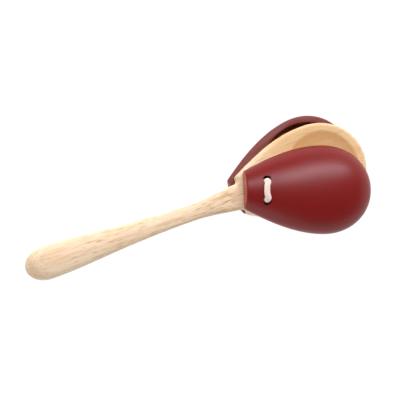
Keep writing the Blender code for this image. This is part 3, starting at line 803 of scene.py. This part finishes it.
def braid_tree():
    """Geometry Nodes that braid two sets of strands, one each way round, over a core along a path."""
    tree = bpy.data.node_groups.new("braided_elastic", 'GeometryNodeTree')
    tree.interface.new_socket("Path", in_out='INPUT', socket_type='NodeSocketGeometry')
    for name, kind in (("Strands Each Way", 'NodeSocketInt'), ("Sheath Radius", 'NodeSocketFloat'),
                       ("Strand Radius", 'NodeSocketFloat'), ("Weave Depth", 'NodeSocketFloat'),
                       ("Turns per Metre", 'NodeSocketFloat'), ("Point Spacing", 'NodeSocketFloat'),
                       ("Waist", 'NodeSocketFloat'), ("Material", 'NodeSocketMaterial')):
        tree.interface.new_socket(name, in_out='INPUT', socket_type=kind)
    tree.interface.new_socket("Braid", in_out='OUTPUT', socket_type='NodeSocketGeometry')
    sizes = add_node(tree, "NodeGroupInput").outputs
    path = add_node(tree, "GeometryNodeMeshToCurve", {"Mesh": sizes["Path"]})
    spaced = add_node(tree, "GeometryNodeResampleCurve", {
        "Curve": path.outputs[0], "Length": sizes["Point Spacing"]}, mode='LENGTH')
    run = add_node(tree, "GeometryNodeSplineParameter").outputs
    from_middle = add_node(tree, "ShaderNodeMath", {0: run["Factor"], 1: 0.5}, operation='SUBTRACT')
    apart = add_node(tree, "ShaderNodeMath", {0: from_middle.outputs[0]}, operation='ABSOLUTE')
    thinnest = add_node(tree, "ShaderNodeMath", {0: 1.0, 1: sizes["Waist"]}, operation='SUBTRACT')
    girth = add_node(tree, "ShaderNodeMapRange", {
        "Value": apart.outputs[0], "From Min": WAIST_START, "From Max": WAIST_END,
        "To Min": thinnest.outputs[0]}, interpolation_type='SMOOTHSTEP').outputs[0]
    even = add_node(tree, "GeometryNodeSetCurveRadius", {
        "Curve": spaced.outputs[0], "Radius": girth}).outputs[0]
    total = add_node(tree, "ShaderNodeMath", {0: sizes["Strands Each Way"], 1: 2.0}, operation='MULTIPLY')
    copies = add_node(tree, "GeometryNodeDuplicateElements", {
        "Geometry": even, "Amount": total.outputs[0]}, domain='SPLINE')
    number = copies.outputs["Duplicate Index"]
    odd = add_node(tree, "ShaderNodeMath", {0: number, 1: 2.0}, operation='MODULO')
    way = add_node(tree, "ShaderNodeMath", {0: odd.outputs[0], 1: 2.0, 2: -1.0}, operation='MULTIPLY_ADD')
    pair = add_node(tree, "ShaderNodeMath", {0: number, 1: odd.outputs[0]}, operation='SUBTRACT')
    share = add_node(tree, "ShaderNodeMath", {0: pair.outputs[0], 1: total.outputs[0]}, operation='DIVIDE')
    turns = add_node(tree, "ShaderNodeMath", {
        0: run["Length"], 1: sizes["Turns per Metre"]}, operation='MULTIPLY')
    signed = add_node(tree, "ShaderNodeMath", {
        0: turns.outputs[0], 1: way.outputs[0], 2: share.outputs[0]}, operation='MULTIPLY_ADD')
    angle = add_node(tree, "ShaderNodeMath", {0: signed.outputs[0], 1: 2 * math.pi}, operation='MULTIPLY')
    crossings = add_node(tree, "ShaderNodeMath", {
        0: turns.outputs[0], 1: sizes["Strands Each Way"]}, operation='MULTIPLY')
    wave_angle = add_node(tree, "ShaderNodeMath", {
        0: crossings.outputs[0], 1: 2 * math.pi}, operation='MULTIPLY')
    wave = add_node(tree, "ShaderNodeMath", {0: wave_angle.outputs[0]}, operation='COSINE')
    over = add_node(tree, "ShaderNodeMath", {0: wave.outputs[0], 1: way.outputs[0]}, operation='MULTIPLY')
    full = add_node(tree, "ShaderNodeMath", {
        0: over.outputs[0], 1: sizes["Weave Depth"], 2: sizes["Sheath Radius"]}, operation='MULTIPLY_ADD')
    reach = add_node(tree, "ShaderNodeMath", {0: full.outputs[0], 1: girth}, operation='MULTIPLY')
    normal = add_node(tree, "GeometryNodeInputNormal").outputs["Normal"]
    tangent = add_node(tree, "GeometryNodeInputTangent").outputs["Tangent"]
    out = add_node(tree, "ShaderNodeVectorRotate", {
        "Vector": normal, "Axis": tangent, "Angle": angle.outputs[0]}, rotation_type='AXIS_ANGLE')
    offset = add_node(tree, "ShaderNodeVectorMath", {
        0: out.outputs[0], "Scale": reach.outputs[0]}, operation='SCALE')
    wound = add_node(tree, "GeometryNodeSetPosition", {
        "Geometry": copies.outputs["Geometry"], "Offset": offset.outputs[0]})
    yarn = add_node(tree, "GeometryNodeCurvePrimitiveCircle", {
        "Resolution": STRAND_SIDES, "Radius": sizes["Strand Radius"]})
    strands = add_node(tree, "GeometryNodeCurveToMesh", {
        "Curve": wound.outputs[0], "Profile Curve": yarn.outputs[0], "Fill Caps": True})
    rubber = add_node(tree, "GeometryNodeCurvePrimitiveCircle", {
        "Resolution": CORE_SIDES, "Radius": sizes["Sheath Radius"]})
    core = add_node(tree, "GeometryNodeCurveToMesh", {
        "Curve": even, "Profile Curve": rubber.outputs[0], "Fill Caps": True})
    both = add_node(tree, "GeometryNodeJoinGeometry")
    tree.links.new(strands.outputs[0], both.inputs[0])
    tree.links.new(core.outputs[0], both.inputs[0])
    rounded = add_node(tree, "GeometryNodeSetShadeSmooth", {"Geometry": both.outputs[0]})
    real = add_node(tree, "GeometryNodeRealizeInstances", {"Geometry": rounded.outputs[0]})
    dressed = add_node(tree, "GeometryNodeSetMaterial", {
        "Geometry": real.outputs[0], "Material": sizes["Material"]})
    add_node(tree, "NodeGroupOutput", {"Braid": dressed.outputs[0]})
    return tree


def braided(name, points, diameter, tree, material, waist=0.0):
    """A braided elastic of that diameter along points, pulled thinner in the middle by the share waist."""
    mesh = bpy.data.meshes.new(name)
    mesh.from_pydata(points, [(i, i + 1) for i in range(len(points) - 1)], [])
    obj = bpy.data.objects.new(name, mesh)
    bpy.context.scene.collection.objects.link(obj)
    strand = STRAND_SHARE * diameter
    weave = WEAVE_SHARE * diameter
    sheath = diameter / 2 - strand - weave
    sizes = {"Strands Each Way": STRANDS_EACH_WAY, "Sheath Radius": sheath, "Strand Radius": strand,
             "Weave Depth": weave, "Turns per Metre": BRAID_SLANT / (2 * math.pi * sheath),
             "Point Spacing": diameter / POINTS_PER_DIAMETER, "Waist": waist, "Material": material}
    modifier = obj.modifiers.new("braid", 'NODES')
    modifier.node_group = tree
    for item in tree.interface.items_tree:
        if item.in_out == 'INPUT' and item.name in sizes:
            modifier[item.identifier] = sizes[item.name]
    bake(obj)
    return obj


def smooth_path(points):
    """Points along a Catmull-Rom curve through the given ones."""
    ends = [2 * points[0] - points[1], *points, 2 * points[-1] - points[-2]]
    path = []
    for a, b, c, d in zip(ends, ends[1:], ends[2:], ends[3:]):
        for i in range(PATH_STEPS):
            t = i / PATH_STEPS
            square, cube = 2 * a - 5 * b + 4 * c - d, 3 * b - a - 3 * c + d
            path.append((2 * b + (c - a) * t + square * t**2 + cube * t**3) / 2)
    return path + [points[-1]]


def cord_line(x, y, diameter):
    """Height of a cord's middle above the mid plane, where it lies across a shell at x from the lacing."""
    spot = LACING_FROM_NECK + x
    lift = (diameter / 2 + CLEARANCE / 3) * math.hypot(1.0, ridge_slope(spot))
    return RIM_Z + dome_surface(spot, y) + lift


def leg_points(place, other, side):
    """World points of the elastic from the mid plane, leaning, to where it enters a shell's hole."""
    hole = place @ Vector((0, hole_y(side), 0))
    partner = min(lacing_points(other), key=lambda point: (point - hole).length)
    middle = (hole + partner) / 2
    rim = (place.to_3x3() @ Vector((0, 0, 1))) * RIM_Z
    return [middle + rim * LEG_START, middle + rim * LEG_LEAN, hole + rim * LEG_UPRIGHT]


def make_front_elastic(tree, material, front, back):
    """The elastic from the mid plane up one hole, tight across the front shell and down the other."""
    ends = []
    for side in (1, -1):
        out = hole_y(side) + CORD_SHIFT - side * CORD_LEAN
        mouth = RIM_Z + dome_surface(LACING_FROM_NECK, out)
        rise = [(0.0, RIM_Z + 1.0 * mm), (0.0, mouth - 2.0 * mm), (0.0, mouth + 0.2 * mm)]
        rise += [(0.25 * mm, mouth + 1.2 * mm), (1.0 * mm, mouth + 1.75 * mm)]
        bend = [front @ Vector((0, out - side * inwards, z)) for inwards, z in rise]
        ends.append(leg_points(front, back, side) + bend)
    across = []
    for share in (0.5, 0.0, -0.5):
        x = CORD_SAG * (share**2 - 1)
        y = LACING_OFFSET + CORD_SHIFT + share * (LACING_SPACING / 2 - CORD_LEAN)
        across.append(front @ Vector((x, y, cord_line(x, y, CORD_DIAMETER))))
    points = ends[0] + across + list(reversed(ends[1]))
    piece = braided("front_elastic", smooth_path(points), CORD_DIAMETER, tree, material, CORD_WAIST)
    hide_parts("elastic_front_stitch", "elastic_front_left_leg", "elastic_front_right_leg")
    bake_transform(piece)


def knot_strand():
    """Half of a reef knot in cord diameters: in from the -Y side, round the other end's bight and out."""
    return [Vector(point) for point in (
        (0.5, -1.6, 1.35), (0.5, -1.0, 1.55), (0.95, 0.0, 1.45), (1.35, 0.75, 1.0), (0.75, 1.3, 0.5),
        (0.0, 1.45, 0.45), (-0.75, 1.3, 0.5), (-1.3, 0.6, 0.55), (-0.95, -0.1, 0.6), (-0.55, -1.0, 1.5),
        (-0.75, -1.7, 1.45), (-1.1, -2.4, 1.15))]


def make_back_elastic(tree, material, front, back):
    """The elastic's two ends, up the back shell's holes and tied in a reef knot on its dome."""
    lean = math.atan(ridge_slope(LACING_FROM_NECK))
    seat = Vector((0, 0, RIM_Z + dome_height(LACING_FROM_NECK) + CLEARANCE))
    for facing, side in (("right", 1), ("left", -1)):
        turn = Matrix.Rotation(0.0 if side < 0 else math.pi, 4, 'Z')
        lie = back @ Matrix.Translation(seat) @ Matrix.Rotation(-lean, 4, 'Y') @ turn
        knot = [lie @ (point * KNOT_CORD_DIAMETER) for point in knot_strand()]
        out = hole_y(side)
        mouth = RIM_Z + dome_surface(LACING_FROM_NECK, out)
        rise = [back @ Vector((0, out, z)) for z in (RIM_Z + 1 * mm, mouth - 2 * mm)]
        rise.append(back @ Vector((0, out - side * 0.3 * mm, mouth + 0.6 * mm)))
        points = leg_points(back, front, side) + rise + knot
        name = f"back_elastic_{facing}"
        piece = braided(name, smooth_path(points), KNOT_CORD_DIAMETER, tree, material)
        nodes = [f"elastic_back_{facing}_leg", f"elastic_back_{facing}_end"]
        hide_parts(*nodes, *(["elastic_knot"] if side > 0 else []))
        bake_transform(piece)


def floor_level():
    """Height of the floor: low enough for the back shell to swing fully open above it."""
    swing = math.radians(joints["back_clap"]["range_deg"][1])
    ridge = [HEAD_LENGTH * i / FLANK_STEPS for i in range(FLANK_STEPS + 1)]
    drop = max(x * math.sin(swing) + dome_height(x) * math.cos(swing) for x in ridge)
    return -RIM_Z - drop - FLOOR_GAP


def make_stage(level):
    """A pale sweep: a flat floor that turns up far away, white to the camera but for soft shadows."""
    bm = bmesh.new()
    profile = [(FLOOR_RADIUS * (i + 1) / ROUND_STEPS, 0.0) for i in range(ROUND_STEPS)]
    for i in range(1, SWEEP_STEPS + 1):
        turn = math.pi / 2 * i / SWEEP_STEPS
        profile.append((FLOOR_RADIUS + SWEEP_RISE * math.sin(turn), SWEEP_RISE * (1 - math.cos(turn))))
    rings = [level_ring(bm, level + z, radius, SWEEP_SIDES) for radius, z in profile]
    loft(bm, rings, closed=True)
    cap_to_point(bm, rings[0], (0, 0, level))
    floor = mesh_object("pale_sweep", bm)
    floor.data.shade_smooth()
    material, tree = new_material("white_paper_sweep")
    rays = add_node(tree, "ShaderNodeLightPath").outputs
    seen = add_node(tree, "ShaderNodeMath", {
        0: rays["Is Camera Ray"], 1: rays["Is Glossy Ray"]}, operation='MAXIMUM')
    shown = add_node(tree, "ShaderNodeMath", {
        0: seen.outputs[0], 1: rays["Is Transmission Ray"]}, operation='MAXIMUM')
    share = add_node(tree, "ShaderNodeMath", {
        0: shown.outputs[0], 1: SWEEP_WHITENESS}, operation='MULTIPLY')
    paper = add_node(tree, "ShaderNodeBsdfDiffuse", {"Color": linear("#f4f3f1")})
    glow = add_node(tree, "ShaderNodeEmission", {"Color": (1, 1, 1, 1), "Strength": FLOOR_GLOW})
    lit = add_node(tree, "ShaderNodeAddShader", {0: paper.outputs[0], 1: glow.outputs[0]})
    white = add_node(tree, "ShaderNodeEmission", {"Color": (1, 1, 1, 1), "Strength": 1.0})
    mix = add_node(tree, "ShaderNodeMixShader", {
        0: share.outputs[0], 1: lit.outputs[0], 2: white.outputs[0]})
    add_node(tree, "ShaderNodeOutputMaterial", {"Surface": mix.outputs[0]})
    floor.data.materials.append(material)


def add_softbox(name, place, width, depth, watts, aim):
    """A rectangular soft light at a place, turned to a point."""
    light = bpy.data.lights.new(name, 'AREA')
    light.shape = 'RECTANGLE'
    light.size, light.size_y = width, depth
    light.energy = watts
    light.color = linear("#fbfaff")[:3]
    obj = bpy.data.objects.new(name, light)
    bpy.context.scene.collection.objects.link(obj)
    obj.location = place
    obj.rotation_euler = (Vector(place) - Vector(aim)).to_track_quat('Z', 'Y').to_euler()


def make_light():
    """A long strip over the far side, two low softboxes from the butt's end, and a dim room."""
    world = bpy.data.worlds.new("studio")
    bpy.context.scene.world = world
    world.use_nodes = True
    shade = world.node_tree.nodes["Background"]
    shade.inputs["Color"].default_value = linear("#eeeefa")
    shade.inputs["Strength"].default_value = ROOM_LEVEL
    head = (NECK_X, 0.0, 0.0)
    add_softbox("strip_softbox", place=(0.53, 0.555, 0.94), width=0.32, depth=1.42, watts=19.3,
                aim=(0.37, 0.555, 0.0))
    add_softbox("far_softbox", place=(-0.60, 0.67, 0.55), width=0.42, depth=0.42, watts=0.8, aim=head)
    add_softbox("near_softbox", place=(-0.72, -0.66, 0.38), width=0.80, depth=0.60, watts=2.0, aim=head)


def make_camera():
    """The photograph's view of the castanet, for a square frame."""
    towards = Vector((math.sin(CAMERA_TILT) * math.cos(CAMERA_BEARING),
                      math.sin(CAMERA_TILT) * math.sin(CAMERA_BEARING), math.cos(CAMERA_TILT)))
    level = (Vector((1, 0, 0)) - towards * towards.x).normalized()
    rise = towards.cross(level)
    right = level * math.cos(CAMERA_ROLL) - rise * math.sin(CAMERA_ROLL)
    up = level * math.sin(CAMERA_ROLL) + rise * math.cos(CAMERA_ROLL)
    data = bpy.data.cameras.new("camera")
    data.sensor_width = 36.0
    data.lens = CAMERA_LENS
    data.clip_end = 20.0
    camera = bpy.data.objects.new("camera", data)
    bpy.context.scene.collection.objects.link(camera)
    turn = Matrix((right, up, towards)).transposed().to_4x4()
    camera.matrix_world = Matrix.Translation(CAMERA_AIM + towards * CAMERA_DISTANCE) @ turn
    bpy.context.scene.camera = camera


def main():
    """Makes every piece, then the stage, the light and the camera."""
    front = lacing_frame("front_swivel", "front_clap", 1)
    back = lacing_frame("back_swivel", "back_clap", -1)
    make_handle_and_paddle(pale_hardwood(), front, back)
    lacquer = red_lacquer()
    shell = make_shell()
    # Only the front shell's neck face gets the painted reflection; the back shell's keeps the plain
    # lacquer.
    place_shell("front_red_shell", shell, front, lacquer, "front_clapper", "front_shell", NECK_ZONE)
    place_shell("back_red_shell", shell, back, lacquer, "back_clapper", "back_shell", DOME_ZONE)
    bpy.data.objects.remove(shell, do_unlink=True)
    elastic = white_elastic()
    braid = braid_tree()
    make_front_elastic(braid, elastic, front, back)
    make_back_elastic(braid, elastic, front, back)
    make_stage(floor_level())
    make_light()
    make_camera()
    bpy.context.scene.view_settings.view_transform = 'Standard'


main()
